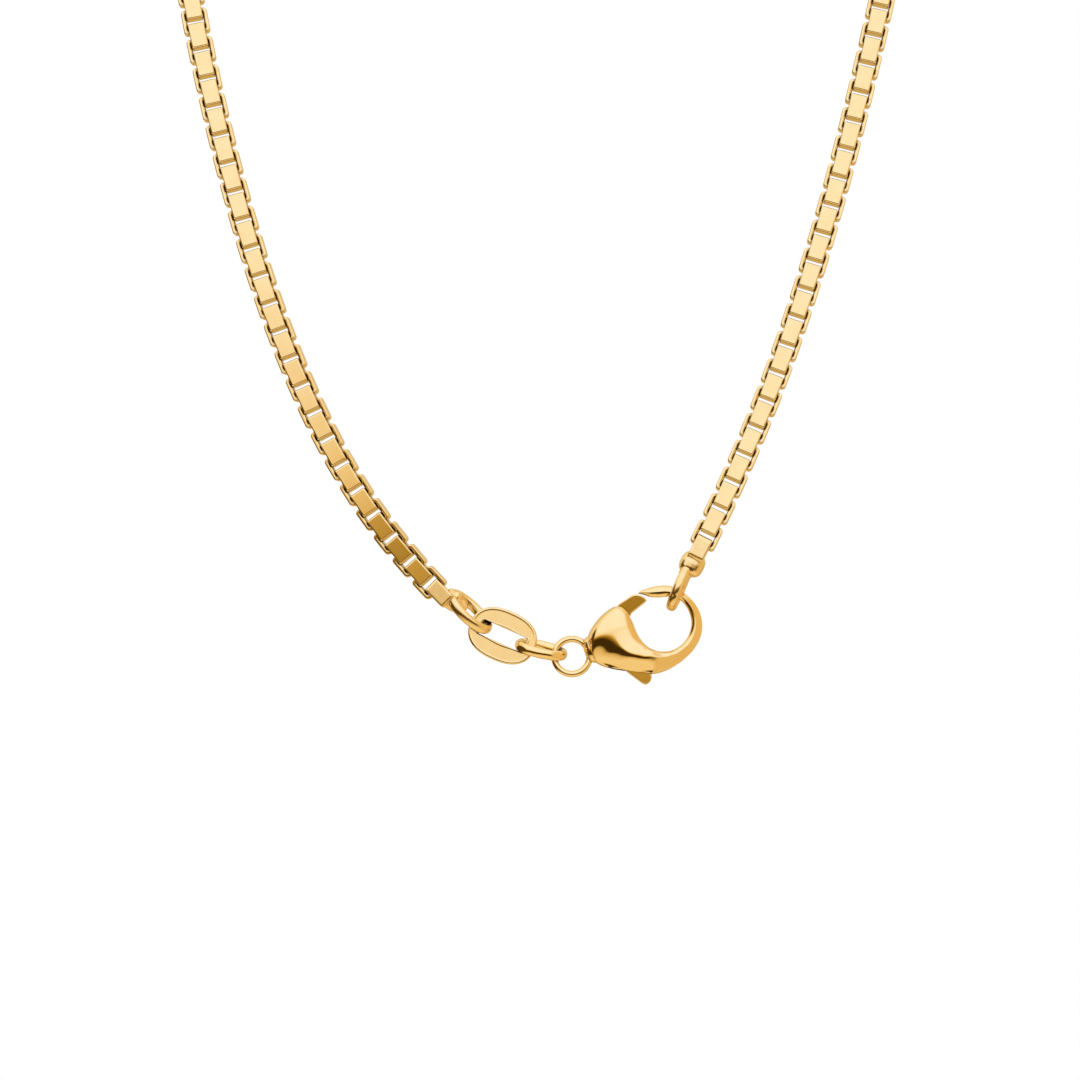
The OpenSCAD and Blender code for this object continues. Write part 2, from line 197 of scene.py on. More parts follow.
# How softly the outer face leaves the crest: 1 is a crease
CLAW_BEND = [
    (156, 1.3), (205, 1.2), (225, 1.7), (255, 1.7), (275, 1.05), (420, 1.05), (450, 1.4), (488, 1.4),
]

# Lever round its pivot in hook radii: up the gate's outer side, down its inner side, then the thumb tab
GATE_ARM = [
    (-0.1, 0.2), (-0.12, 0.9), (-0.19, 1.28), (0.42, 1.67), (0.69, 1.65),
    (0.91, 1.49), (0.88, 1.41), (0.31, 0.96), (0.24, 0.2),
]
THUMB_ARM = [
    (-0.06, -0.2), (0.12, -1.15), (0.58, -1.49), (0.8, -1.66), (0.99, -1.62),
    (1.1, -1.42), (1.08, -1.25), (0.2, -0.25),
]

# The box links as they look: strip, the strip's edges, and end corners of links face on and edge on
SHOWN_STRIP_W = 1.24
SHOWN_STRIP_T = 0.37
FACE_CORNER_R = 0.14
EDGE_CORNER_R = 0.28
SHOWN_INNER_R = 0.1
STRIP_OUTER_EDGE = 0.08
FACE_INNER_EDGE = 0.1
EDGE_INNER_EDGE = 0.21
# Width of the flat band that parts a rounded edge from a broad flat face
SHOULDER = 0.03
# How far single links stray from the even row, in degrees
LINK_TURN_SPREAD = 1
LINK_LEAN_SPREAD = 0.8
TURN_SEED = 1
LEAN_SEED = 2
# Where the noise behind it is read: distances between seeds and between links, and third coordinate
SEED_SPACING = 7.3
LINK_SPACING = 1.7
NOISE_DEPTH = 0.5

# Flat link: rounding of its rim's and its slot's edges, then width and depth of the step to its sunk faces
OVAL_RIM_EDGE = 0.14
OVAL_SLOT_EDGE = 0.1
RIM_SLOPE = 0.07
RIM_DEPTH = 0.015
# How far it is rolled about its length, in degrees
OVAL_ROLL = -2.2

# Wires as they look: thickness out of the loop's plane, as a share of the wire,
# and how straight the loop's sides are
WIRE_LINK_ACROSS = 1.26
LEFT_LOOP_ACROSS = 1.3
RIGHT_LOOP_ACROSS = 1.25
WIRE_LINK_STRAIGHT = 0.35
LEFT_LOOP_STRAIGHT = 0
RIGHT_LOOP_STRAIGHT = 0.5
# Turn of the right end's loop about its length, in degrees
SHOWN_RIGHT_LOOP_TURN = 84

# Lever as it looks: how far the faces of its gate and its thumb tab slope, and the way they fall, in degrees
GATE_SLOPE = 7
GATE_FALL = -56
THUMB_SLOPE = 6.5
THUMB_FALL = -130
# Rounding of its edges and of its outline's corners
LEVER_EDGE = 0.1
LEVER_TIP_R = 0.25
# How much thicker than the lever the tool is that drills its eye
CUT_PAST = 1

# Mesh fineness: steps, sides and samples, distances and angles between points, smoothing passes
LINK_CORNER_STEPS = 5
LINK_EDGE_STEPS = 3
WIRE_SIDES = 28
WIRE_STEPS = 110
OVAL_STEPS = 300
CLAW_STEP = 1.25
CLAW_SIDES = 120
CLAW_SMOOTH = 8
SECTION_SAMPLES = 200
OUTLINE_SAMPLES = 2000
ROUND_END_STEPS = 100
SLOT_FILL_STEP = 0.02
FAN_STEPS = 12
CORNER_STEPS = 4
BEVEL_STEPS = 4
LUMP_STEP = 15
TAPER_SIDES = 16
# Angles between faces, in degrees, from which an edge is bevelled, and from which it is shaded sharp
BEVEL_FROM = 50
SHARP_FROM = 35


def direction(angle):
    a = math.radians(angle)
    return np.array([math.cos(a), math.sin(a)])


def lookup(x, table):
    return float(np.interp(x, [row[0] for row in table], [row[1] for row in table]))


def claw_at(angle, column):
    return float(np.interp(angle, CLAW[:, ANGLE], CLAW[:, column]))


# Layout, in the plane of X and Z round the hook's middle
pin_low, pin_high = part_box("clasp_pin")
pin_middle = (pin_low + pin_high) / 2 / MM
pivot = PIVOT_AT * HOOK_R
hook = np.array([pin_middle.x, pin_middle.z]) - pivot

ring_at = direction(NECK_DIR) * (claw_at(NECK_DIR, OUTER) * HOOK_R + RING_R - NECK_SOLDER)
wire_near = ring_at + direction(WIRE_LINK_DIR) * (RING_R - RING_WIRE - PLAY - WIRE_LINK_WIRE / 2)
wire_link_at = wire_near + direction(WIRE_LINK_DIR) * (WIRE_LINK_L - WIRE_LINK_WIRE) / 2
wire_far = wire_near + direction(WIRE_LINK_DIR) * (WIRE_LINK_L - WIRE_LINK_WIRE)
oval_at = (
    wire_far
    + direction(OVAL_DIR) * (SLOT_L / 2 - PLAY - WIRE_LINK_WIRE / 2)
    + direction(OVAL_DIR - 90) * OVAL_LIFT
)
loop_near = oval_at + direction(OVAL_DIR) * (SLOT_L / 2 - LOOP_PLAY - LEFT_WIRE / 2)
left_loop_at = loop_near + direction(LEFT_LOOP_DIR) * (LEFT_LOOP_L - LEFT_WIRE) / 2
loop_far = loop_near + direction(LEFT_LOOP_DIR) * (LEFT_LOOP_L - LEFT_WIRE)
left_lean = lookup(0, LEFT_TABLE)
left_start = (
    loop_far + LEFT_LINK_UP * direction(90 + left_lean) + LEFT_LINK_OUT * direction(180 + left_lean)
)
right_up = direction(90 - RIGHT_LOOP_LEAN)
hook_seat = direction(HOOK_SEAT_DIR) * claw_at(HOOK_SEAT_DIR, INNER) * HOOK_R
right_near = hook_seat - right_up * (HOOK_PLAY + RIGHT_WIRE / 2)
right_loop_at = right_near + right_up * (RIGHT_LOOP_L - RIGHT_WIRE) / 2
right_far = right_near + right_up * (RIGHT_LOOP_L - RIGHT_WIRE)
right_lean = lookup(0, RIGHT_TABLE)
right_start = (
    right_far + RIGHT_LINK_UP * direction(90 - right_lean) + RIGHT_LINK_OUT * direction(-right_lean)
)


def strand(start, curve_l, table, side):
    """Stations (x, z, heading) of a strand's links. side is 1 on the left and -1 on the right."""
    count = round(curve_l / LINK_PITCH)
    point = np.array(start)
    stations = []
    for k in range(count + 1):
        stations.append((*point, 90 + side * lookup(k / count, table)))
        point = point + LINK_PITCH * direction(90 + side * lookup((k + 0.5) / count, table))
    return stations


left_stations = strand(left_start, LEFT_CURVE_L, LEFT_TABLE, 1)
right_stations = [(x, z, h - 180) for x, z, h in strand(right_start, RIGHT_CURVE_L, RIGHT_TABLE, -1)]


class Hidden:
    """The hidden stretch: straight on from each strand, and one arc round the neck between them."""

    def __init__(self):
        spans = [left_start - ring_at, ring_at - hook_seat, right_start - hook_seat]
        clasp_l = sum(np.linalg.norm(v) for v in spans)
        self.links = 2 * round((NECKLACE_L - clasp_l) / LINK_PITCH / 2)
        self.length = (self.links - len(left_stations) - len(right_stations) + 2) * LINK_PITCH
        self.left, self.right = left_stations[-1], right_stations[-1]
        a_left, a_right = math.radians(self.left[2] - 90), math.radians(-90 - self.right[2])
        half = (a_left + a_right) / 2
        down = self.left[1] - self.right[1]
        to_v_right = (self.right[0] - self.left[0] - math.tan(a_left) * down) / (
            math.sin(a_right) + math.tan(a_left) * math.cos(a_right)
        )
        to_v_left = (down + to_v_right * math.cos(a_right)) / math.cos(a_left)
        v_point = np.array([
            self.left[0] + to_v_left * math.sin(a_left),
            self.left[1] - to_v_left * math.cos(a_left),
        ])
        turn = math.pi + 2 * half
        self.arc_r = (self.length + to_v_left + to_v_right) / (2 / math.tan(half) + turn)
        middle = direction(90 + math.degrees(a_left - a_right) / 2)
        self.arc_c = v_point + middle * self.arc_r / math.sin(half)
        self.straight = self.arc_r / math.tan(half) - to_v_left
        self.arc_l = self.arc_r * turn

    def station(self, s):
        if s < self.straight:
            return (*(np.array(self.left[:2]) + s * direction(self.left[2])), self.left[2])
        if s < self.straight + self.arc_l:
            heading = self.left[2] - math.degrees((s - self.straight) / self.arc_r)
            return (*(self.arc_c + self.arc_r * direction(heading + 90)), heading)
        back = (self.length - s) * direction(self.right[2])
        return (*(np.array(self.right[:2]) - back), self.right[2])


hidden = Hidden()


def station(k):
    """Place of link k, counted from the left strand's welded link round the neck to the right strand's."""
    from_right = hidden.links - k
    if k < len(left_stations):
        return left_stations[k]
    if from_right < len(right_stations):
        return right_stations[from_right]
    return hidden.station((k - len(left_stations) + 1) * LINK_PITCH)


def link_turn(k):
    """Turn of link k about the chain: every other one stands across, and the left strand's are twisted."""
    last = len(left_stations) - 1
    twist = lookup(k / last, TURN_TABLE) if k <= last else 0
    return k % 2 * 90 + twist * (EDGE_ON_TURN if k % 2 else 1)


def turned_y(angle):
    c, s = math.cos(math.radians(angle)), math.sin(math.radians(angle))
    return np.array([[c, 0, s], [0, 1, 0], [-s, 0, c]])


def turned_z(angle):
    c, s = math.cos(math.radians(angle)), math.sin(math.radians(angle))
    return np.array([[c, -s, 0], [s, c, 0], [0, 0, 1]])


def placed(points, at, heading=90, turn=0):
    """Points made round the origin, their Z turned to a heading in the plane of X and Z, moved to a point."""
    spin = turned_y(90 - heading) @ turned_z(turn)
    return np.asarray(points) @ spin.T + np.array([hook[0] + at[0], 0, hook[1] + at[1]])


def make(name, points, faces, material):
    """A smooth-shaded mesh object from points in millimetres."""
    mesh = bpy.data.meshes.new(name)
    mesh.from_pydata((np.asarray(points).reshape(-1, 3) * MM).tolist(), [], [list(f) for f in faces])
    mesh.materials.append(material)
    mesh.polygons.foreach_set("use_smooth", [True] * len(mesh.polygons))
    obj = bpy.data.objects.new(name, mesh)
    bpy.context.scene.collection.objects.link(obj)
    return obj


def ring_faces(rings, sides, closed):
    """Quads between rings of points, with an end face each where the rings don't close on themselves."""
    faces = []
    for i in range(rings if closed else rings - 1):
        a, b = i * sides, (i + 1) % rings * sides
        faces += [(a + j, a + (j + 1) % sides, b + (j + 1) % sides, b + j) for j in range(sides)]
    if not closed:
        faces.append(tuple(range(sides))[::-1])
        faces.append(tuple(range((rings - 1) * sides, rings * sides)))
    return faces


def weigh_normals(obj):
    """Lets the large flat faces rule the shading, so that they stay flat up to their rounded edges."""
    modifier = obj.modifiers.new("flat faces", "WEIGHTED_NORMAL")
    modifier.mode = "FACE_AREA"
    modifier.keep_sharp = True


def round_corners(w, h, r, steps):
    points = []
    for corner, (sx, sz) in enumerate([(1, 1), (-1, 1), (-1, -1), (1, -1)]):
        middle = np.array([sx * (w / 2 - r), sz * (h / 2 - r)])
        points += [middle + r * direction(90 * (corner + i / steps)) for i in range(steps + 1)]
    return np.array(points)


def edge_profile(outer_r, inner_r, steps, border):
    """Points of a strip's section: side (1 outer, 0 inner), face (1 or -1), offsets out and up.

    border lists what follows a rounding on a face: distance from the rounding, depth.
    """
    rows = []
    for side, face, start in [(1, 1, 0), (0, 1, 90), (0, -1, 180), (1, -1, 270)]:
        r = outer_r if side else inner_r
        out = 1 if side else -1
        bend = []
        for i in range(steps + 1):
            c, s = direction(start + 90 * i / steps)
            bend.append(((c - out) * r, (s - face) * r))
        flat = [(-out * (r + away), -face * depth) for away, depth in border]
        wall = [(0, -face * (r + SHOULDER))]
        offsets = wall + bend + flat if start in (0, 180) else flat[::-1] + bend + wall
        rows += [(side, face, x, z) for x, z in offsets]
    return rows


PLAIN_BORDER = ((SHOULDER, 0),)
SUNK_BORDER = (
    (SHOULDER, 0),
    (SHOULDER + RIM_SLOPE, RIM_DEPTH),
    (2 * SHOULDER + RIM_SLOPE, RIM_DEPTH),
)


def strip_frame(inner, outer, width, outer_r, inner_r, steps, border=PLAIN_BORDER):
    """A closed frame between two outlines of the plane of X and Z, width along Y, its edges rounded."""
    profile = edge_profile(outer_r, inner_r, steps, border)
    points = []
    for p, q in zip(inner, outer):
        across = (q - p) / np.linalg.norm(q - p)
        for side, face, out, up in profile:
            x, z = (q if side else p) + across * out
            points.append((x, face * width / 2 + up, z))
    return np.array(points), ring_faces(len(inner), len(profile), True)


def box_link(corner_r, inner_edge):
    hole_w, hole_l = CHAIN_W - 2 * SHOWN_STRIP_T, LINK_L - 2 * SHOWN_STRIP_T
    outer = round_corners(CHAIN_W, LINK_L, corner_r, LINK_CORNER_STEPS)
    inner = round_corners(hole_w, hole_l, SHOWN_INNER_R, LINK_CORNER_STEPS)
    return strip_frame(inner, outer, SHOWN_STRIP_W, STRIP_OUTER_EDGE, inner_edge, LINK_EDGE_STEPS)


def wobble(seed, k, size):
    """A small fixed number for link k, from -size to size."""
    return size * noise.noise(Vector((seed * SEED_SPACING, k * LINK_SPACING, NOISE_DEPTH)))


def links(name, first, last, material):
    shapes = [box_link(FACE_CORNER_R, FACE_INNER_EDGE), box_link(EDGE_CORNER_R, EDGE_INNER_EDGE)]
    points, faces = [], []
    for k in range(first, last + 1):
        link_points, link_faces = shapes[k % 2]
        offset = len(points) * len(link_points)
        x, z, heading = station(k)
        turn = link_turn(k) + 90 + wobble(TURN_SEED, k, LINK_TURN_SPREAD)
        lean = wobble(LEAN_SEED, k, LINK_LEAN_SPREAD)
        points.append(placed(link_points, (x, z), heading + lean, turn))
        faces += [tuple(offset + v for v in face) for face in link_faces]
    obj = make(name, points, faces, material)
    weigh_normals(obj)
    return obj


def wire_loop(outline, wire, across=1):
    """Closed wire along an outline of the plane of X and Z. across is the wire's share out of the plane."""
    along = np.roll(outline, -1, axis=0) - np.roll(outline, 1, axis=0)
    out = np.stack([along[:, 1], -along[:, 0]], axis=1) / np.linalg.norm(along, axis=1)[:, None]
    points = []
    for middle, way in zip(outline, out):
        for j in range(WIRE_SIDES):
            c, t = direction(360 * j / WIRE_SIDES) * wire / 2
            points.append((middle[0] + way[0] * c, t * across, middle[1] + way[1] * c))
    return np.array(points), ring_faces(len(outline), WIRE_SIDES, True)


def oval_outline(length, width, power, angles):
    c, s = np.cos(angles), np.sin(angles)
    return np.stack([
        width / 2 * np.sign(c) * np.abs(c) ** power,
        length / 2 * np.sign(s) * np.abs(s) ** power,
    ], axis=1)


def bent_oval(length, width, wire, straightness):
    """Middle line of a loop of wire, evenly spaced, between an ellipse at 0 and straight sides at 1."""
    l, w = length - wire, width - wire
    angles = np.linspace(0, 2 * math.pi, OUTLINE_SAMPLES, endpoint=False)
    ellipse = oval_outline(l, w, 1, angles)
    bearings = np.arctan2(ellipse[:, 1], ellipse[:, 0])
    straight = outline_towards(round_corners(w, l, w / 2, ROUND_END_STEPS), bearings)
    line = ellipse + (straight - ellipse) * straightness
    run = np.concatenate([[0], np.cumsum(np.linalg.norm(np.roll(line, -1, axis=0) - line, axis=1))])
    even = np.linspace(0, run[-1], WIRE_STEPS, endpoint=False)
    closed = np.concatenate([line, line[:1]])
    return np.stack([np.interp(even, run, closed[:, 0]), np.interp(even, run, closed[:, 1])], axis=1)


def filled_in(outline, step):
    """A closed outline with points added along its straight sides."""
    points = []
    for p, q in zip(outline, np.roll(outline, -1, axis=0)):
        count = max(1, math.ceil(np.linalg.norm(q - p) / step))
        points += [p + (q - p) * i / count for i in range(count)]
    return np.array(points)


def outline_towards(outline, angles):
    """Points of a closed outline in given directions from its middle."""
    bearing = np.unwrap(np.arctan2(outline[:, 1], outline[:, 0]))
    reach = np.linalg.norm(outline, axis=1)
    turn = 2 * math.pi
    bearing = np.concatenate([bearing - turn, bearing, bearing + turn])
    found = np.interp(angles % turn, bearing, np.tile(reach, 3))
    return np.stack([np.cos(angles) * found, np.sin(angles) * found], axis=1)


def oval_link():
    bearings = np.linspace(0, 2 * math.pi, OVAL_STEPS, endpoint=False)
    angles = np.linspace(0, 2 * math.pi, 8 * OVAL_STEPS, endpoint=False)
    rim = oval_outline(OVAL_L, OVAL_W, OVAL_POWER, angles)
    slot = round_corners(SLOT_W, SLOT_L, SLOT_CORNER_R, LINK_CORNER_STEPS)
    slot = filled_in(slot, SLOT_FILL_STEP)
    inner, outer = outline_towards(slot, bearings), outline_towards(rim, bearings)
    return strip_frame(inner, outer, OVAL_T, OVAL_RIM_EDGE, OVAL_SLOT_EDGE, LINK_CORNER_STEPS, SUNK_BORDER)


def smoothed(values, passes):
    for _ in range(passes):
        inner = (values[:-2] + 2 * values[1:-1] + values[2:]) / 4
        values = np.concatenate([values[:1], inner, values[-1:]])
    return values


def at_least(y, least):
    """The larger of the two, with a smooth passage from one to the other."""
    return (y ** FLOOR_BLEND + least ** FLOOR_BLEND) ** (1 / FLOOR_BLEND)


def section(inner, outer, half_t, square, crest, fall, edge, bend, inner_fall, least):
    """Half ring of a claw section, evenly spaced: distance from the hook's middle, and half thickness."""
    top = inner + (outer - inner) * crest
    quarter = np.linspace(math.pi / 2, 0, SECTION_SAMPLES)
    out = np.sin(quarter)
    x = np.concatenate([top + (outer - top) * out, top - (top - inner) * np.cos(quarter[1:])])
    y_out = at_least(half_t * (1 - fall * out ** bend), least) * np.sqrt(np.clip(1 - out ** edge, 0, 1))
    y_in = half_t * (1 - inner_fall * np.cos(quarter[1:])) * np.abs(np.sin(quarter[1:])) ** square
    y = np.concatenate([y_out, y_in])
    run = np.concatenate([[0], np.cumsum(np.hypot(np.diff(x), np.diff(y)))])
    even = np.linspace(0, run[-1], CLAW_SIDES // 2 + 1)
    return np.interp(even, run, x), np.interp(even, run, y)


def claw():
    angles = np.arange(CLAW[0, ANGLE], CLAW[-1, ANGLE] + CLAW_STEP / 2, CLAW_STEP)
    columns = [np.interp(angles, CLAW[:, ANGLE], CLAW[:, column]) for column in (INNER, OUTER, THICK)]
    tables = [CLAW_SQUARE, CLAW_CREST, CLAW_FALL, CLAW_EDGE, CLAW_BEND, CLAW_INNER_FALL, CLAW_FLOOR]
    columns += [np.array([lookup(angle, table) for angle in angles]) for table in tables]
    columns = [smoothed(column, CLAW_SMOOTH) for column in columns]
    rings = []
    for angle, inner, outer, thick, *form in zip(angles, *columns):
        x, y = section(inner * HOOK_R, outer * HOOK_R, thick * BODY_T / 2, *form)
        x = np.concatenate([x, x[-2:0:-1]])
        y = np.concatenate([y, -y[-2:0:-1]])
        d = direction(angle)
        rings.append(np.stack([x * d[0], y, x * d[1]], axis=1))
    return np.concatenate(rings), [f[::-1] for f in ring_faces(len(angles), CLAW_SIDES, False)]


def prism(outline, thick, slope=0, fall_way=0):
    """A plate of an outline in the plane of X and Z, thick along Y, whose faces may slope and fall away."""
    n = len(outline)
    fall = np.asarray(outline) @ direction(fall_way)
    half = thick / 2 - math.tan(math.radians(slope)) * (fall - fall.min())
    points = [(x, side * h, z) for side in (-1, 1) for (x, z), h in zip(outline, half)]
    faces = [tuple(range(n)), tuple(range(n, 2 * n))[::-1]]
    faces += [(i, n + i, n + (i + 1) % n, (i + 1) % n) for i in range(n)]
    return np.array(points), faces


def arc(r, start, end, steps):
    return [tuple(r * direction(start + (end - start) * i / steps)) for i in range(steps + 1)]


def circle(r, sides=64):
    return arc(r, 0, 360, sides)[:-1]


def cut(obj, outline, thick, at):
    """Cuts a plate of an outline out of a piece, for good."""
    points, faces = prism(outline, thick)
    tool = make("tool", placed(points, at), faces, obj.data.materials[0])
    modifier = obj.modifiers.new("cut", "BOOLEAN")
    modifier.operation = "DIFFERENCE"
    modifier.solver = "EXACT"
    modifier.object = tool
    settle(obj)
    bpy.data.objects.remove(tool)


def settle(obj):
    """Applies a piece's modifiers to its mesh."""
    bpy.context.view_layer.update()
    graph = bpy.context.evaluated_depsgraph_get()
    mesh = bpy.data.meshes.new_from_object(obj.evaluated_get(graph), depsgraph=graph)
    obj.modifiers.clear()
    obj.data = mesh


def join(name, parts):
    """One object from several, which keep their shapes."""
    with bpy.context.temp_override(active_object=parts[0], selected_editable_objects=parts):
        bpy.ops.object.join()
    parts[0].name = name
    return parts[0]


def melt(obj):
    """Fuses a piece's shells into one skin, as solder does, and softens its edges."""
    remesh = obj.modifiers.new("fuse", "REMESH")
    remesh.mode = "VOXEL"
    remesh.voxel_size = SOLDER_VOXEL * MM
    remesh.use_smooth_shade = True
    soften = obj.modifiers.new("soften", "SMOOTH")
    soften.factor = SOLDER_SOFTENING
    soften.iterations = SOLDER_PASSES
    settle(obj)


def fan(limits, reach):
    """A sector between two directions. reach is in hook radii."""
    return [(0, 0)] + arc(reach * HOOK_R, *limits, FAN_STEPS)


def rounded(outline, r):
    """An outline with its corners cut back by r at most, and curved."""
    points = []
    for before, corner, after in zip(np.roll(outline, 1, axis=0), outline, np.roll(outline, -1, axis=0)):
        arms = [before - corner, after - corner]
        start, end = [corner + a * min(0.5, r / np.linalg.norm(a)) for a in arms]
        for t in np.linspace(0, 1, CORNER_STEPS + 1):
            points.append((1 - t) ** 2 * start + 2 * t * (1 - t) * corner + t ** 2 * end)
    return np.array(points)


def lever():
    """The lever round its pivot: gate, thumb tab and eye, run into each other."""
    arms = [(GATE_ARM[::-1], GATE_SLOPE, GATE_FALL), (THUMB_ARM, THUMB_SLOPE, THUMB_FALL)]
    shapes = [prism(circle(EYE_R), LEVER_T)]
    shapes += [prism(rounded(np.array(arm) * HOOK_R, LEVER_TIP_R), LEVER_T, *lie) for arm, *lie in arms]
    parts = []
    for points, faces in shapes:
        part = make("gate_lever", placed(points, pivot), faces, clasp_gold)
        bevel = part.modifiers.new("rounded", "BEVEL")
        bevel.width = LEVER_EDGE * MM
        bevel.segments = BEVEL_STEPS
        bevel.limit_method = "ANGLE"
        bevel.angle_limit = math.radians(BEVEL_FROM)
        bevel.use_clamp_overlap = False
        settle(part)
        parts.append(part)
    cut(parts[0], circle(PIN_R + PIN_GAP), LEVER_T + CUT_PAST, pivot)
    piece = join("gate_lever", parts)
    weigh_normals(piece)
    return piece


# Gold: its two shades, and half the width of the step between them, as a share of the noise
GOLD_SHADES = ((0.985, 0.752, 0.395, 1), (1, 0.808, 0.465, 1))
SHADE_STEP = 0.24
# Its polish varies between these shares of a roughness
POLISH_SPREAD = (0.75, 1.35)
# Noise of the shades, the polish and the grain: spots per metre, detail
SHADE_NOISE = (900, 3)
POLISH_NOISE = (3000, 4)
GRAIN_NOISE = (9000, 2)
GRAIN_DEPTH = 0.02
# Painted shade in narrow joints and between parts, darkening the gold where little is open round it: its
# depth, its colour, the open shares it fades between, samples
CREVICE = 0.3
CREVICE_SHADE_COLOUR = (0.06, 0.022, 0.003, 1)
CREVICE_FADE = (0.42, 0.88)
CREVICE_SAMPLES = 8


def gold_material(name, rough=0.12, grain=0.004):
    """Polished yellow gold, slightly uneven in colour and polish, finely grained, with painted shade in
    narrow joints.
    """
    material = bpy.data.materials.new(name)
    material.use_nodes = True
    nodes, link = material.node_tree.nodes, material.node_tree.links.new
    shader = nodes["Principled BSDF"]
    shader.inputs["Metallic"].default_value = 1
    where = nodes.new("ShaderNodeTexCoord").outputs["Object"]

    def spots(scale, detail):
        node = nodes.new("ShaderNodeTexNoise")
        node.inputs["Scale"].default_value = scale
        node.inputs["Detail"].default_value = detail
        link(where, node.inputs["Vector"])
        return node.outputs["Fac"]

    colour = nodes.new("ShaderNodeValToRGB")
    for stop, side, shade in zip(colour.color_ramp.elements, (-1, 1), GOLD_SHADES):
        stop.position = 0.5 + side * SHADE_STEP
        stop.color = shade
    link(spots(*SHADE_NOISE), colour.inputs["Fac"])
    # Painted shade: where little is open round a point, as in narrow joints and between parts, the colour
    # turns to a dark brown
    open_share = nodes.new("ShaderNodeAmbientOcclusion")
    open_share.samples = CREVICE_SAMPLES
    open_share.inputs["Distance"].default_value = CREVICE * MM
    shade_share = nodes.new("ShaderNodeMapRange")
    shade_share.inputs["From Min"].default_value = CREVICE_FADE[0]
    shade_share.inputs["From Max"].default_value = CREVICE_FADE[1]
    shade_share.inputs["To Min"].default_value = 1
    shade_share.inputs["To Max"].default_value = 0
    link(open_share.outputs["AO"], shade_share.inputs["Value"])
    painted_shade_mix = nodes.new("ShaderNodeMix")
    painted_shade_mix.data_type = "RGBA"
    link(shade_share.outputs["Result"], painted_shade_mix.inputs["Factor"])
    link(colour.outputs["Color"], painted_shade_mix.inputs["A"])
    painted_shade_mix.inputs["B"].default_value = CREVICE_SHADE_COLOUR
    link(painted_shade_mix.outputs["Result"], shader.inputs["Base Color"])
    polish = nodes.new("ShaderNodeMapRange")
    polish.inputs["To Min"].default_value = rough * POLISH_SPREAD[0]
    polish.inputs["To Max"].default_value = rough * POLISH_SPREAD[1]
    link(spots(*POLISH_NOISE), polish.inputs["Value"])
    link(polish.outputs["Result"], shader.inputs["Roughness"])
    bump = nodes.new("ShaderNodeBump")
    bump.inputs["Strength"].default_value = grain
    bump.inputs["Distance"].default_value = GRAIN_DEPTH * MM
    link(spots(*GRAIN_NOISE), bump.inputs["Height"])
    link(bump.outputs["Normal"], shader.inputs["Normal"])
    return material


chain_gold = gold_material("chain_gold")
clasp_gold = gold_material("clasp_gold", rough=0.08)
solder_gold = gold_material("solder_gold", rough=0.2, grain=0.03)


def dress(piece, body, *nodes):
    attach(piece, body)
    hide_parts(*nodes)


def loops_and_links():
    right_first = hidden.links - LOOSE_LINKS
    dress(links("links_left", 1, LOOSE_LINKS, chain_gold), "root", "chain_left")
    dress(links("links_back", LOOSE_LINKS + 1, right_first - 1, chain_gold), "root", "chain_back")
    dress(links("links_right", right_first, hidden.links - 1, chain_gold), "root", "chain_right")
    points, faces = oval_link()
    flat = make("flat_link", placed(points, oval_at, OVAL_DIR, OVAL_ROLL), faces, chain_gold)
    weigh_normals(flat)
    dress(flat, "root", "oval_link")
    line = bent_oval(WIRE_LINK_L, WIRE_LINK_W, WIRE_LINK_WIRE, WIRE_LINK_STRAIGHT)
    points, faces = wire_loop(line, WIRE_LINK_WIRE, WIRE_LINK_ACROSS)
    wire = make("edge_link", placed(points, wire_link_at, WIRE_LINK_DIR, WIRE_LINK_TURN), faces, clasp_gold)
    dress(wire, "root", "wire_link")


def hull(points):
    """Faces of the convex hull of points."""
    shape = bmesh.new()
    for p in points:
        shape.verts.new(p)
    bmesh.ops.convex_hull(shape, input=shape.verts)
    inside = [v for v in shape.verts if not v.link_faces]
    bmesh.ops.delete(shape, geom=inside, context="VERTS")
    shape.verts.index_update()
    faces = [[v.index for v in f.verts] for f in shape.faces]
    kept = [tuple(v.co) for v in shape.verts]
    shape.free()
    return np.array(kept), faces


def taper(w, d, top, bottom, r, shift=0):
    """A pyramid of solder from a box link's end to the loop's wire."""
    square = [(sx * w / 2, sy * d / 2, top) for sx in (-1, 1) for sy in (-1, 1)]
    wire = [(shift + x, y, bottom) for x, y in circle(r, TAPER_SIDES)]
    return hull(square + wire)


def lump(radii, square=1):
    """A drop of solder: an ellipsoid, or a form nearer to a box where square is less than 1."""
    around = [(a, b) for b in range(LUMP_STEP - 90, 90, LUMP_STEP) for a in range(0, 360, LUMP_STEP)]
    unit = [(*(direction(a) * direction(b)[0]), direction(b)[1]) for a, b in around]
    unit = np.array(unit + [(0, 0, -1), (0, 0, 1)])
    return hull(np.sign(unit) * np.abs(unit) ** square * radii)


# Drops of solder on the left end, from its loop's far bend: right, away from the front, up, radius
LEFT_LUMPS = [
    (0.42, -0.15, -0.18, 0.42), (0, 0, 0.12, 0.34), (0.1, -0.1, -0.2, 0.42), (0.5, -0.2, -0.6, 0.34),
]
# How much narrower the left end's taper is than the chain
LEFT_TAPER_INSET = 0.1
# Solder inside the bend: radius, thickness, distance above the bend's middle
LEFT_FILL_R = 0.8
LEFT_FILL_T = 0.5
LEFT_FILL_UP = 0.1
# Right end: radius of its cap's lower end, and the drop round it: half sizes, squareness, distance below
RIGHT_CAP_END_R = 0.5
RIGHT_BULB = (0.95, 0.86, 0.94)
RIGHT_BULB_SQUARE = 0.74
RIGHT_BULB_DROP = 0.36
# Fineness of the solder's skin, its softening passes, and how much each of them softens
SOLDER_VOXEL = 0.035
SOLDER_PASSES = 14
SOLDER_SOFTENING = 0.5


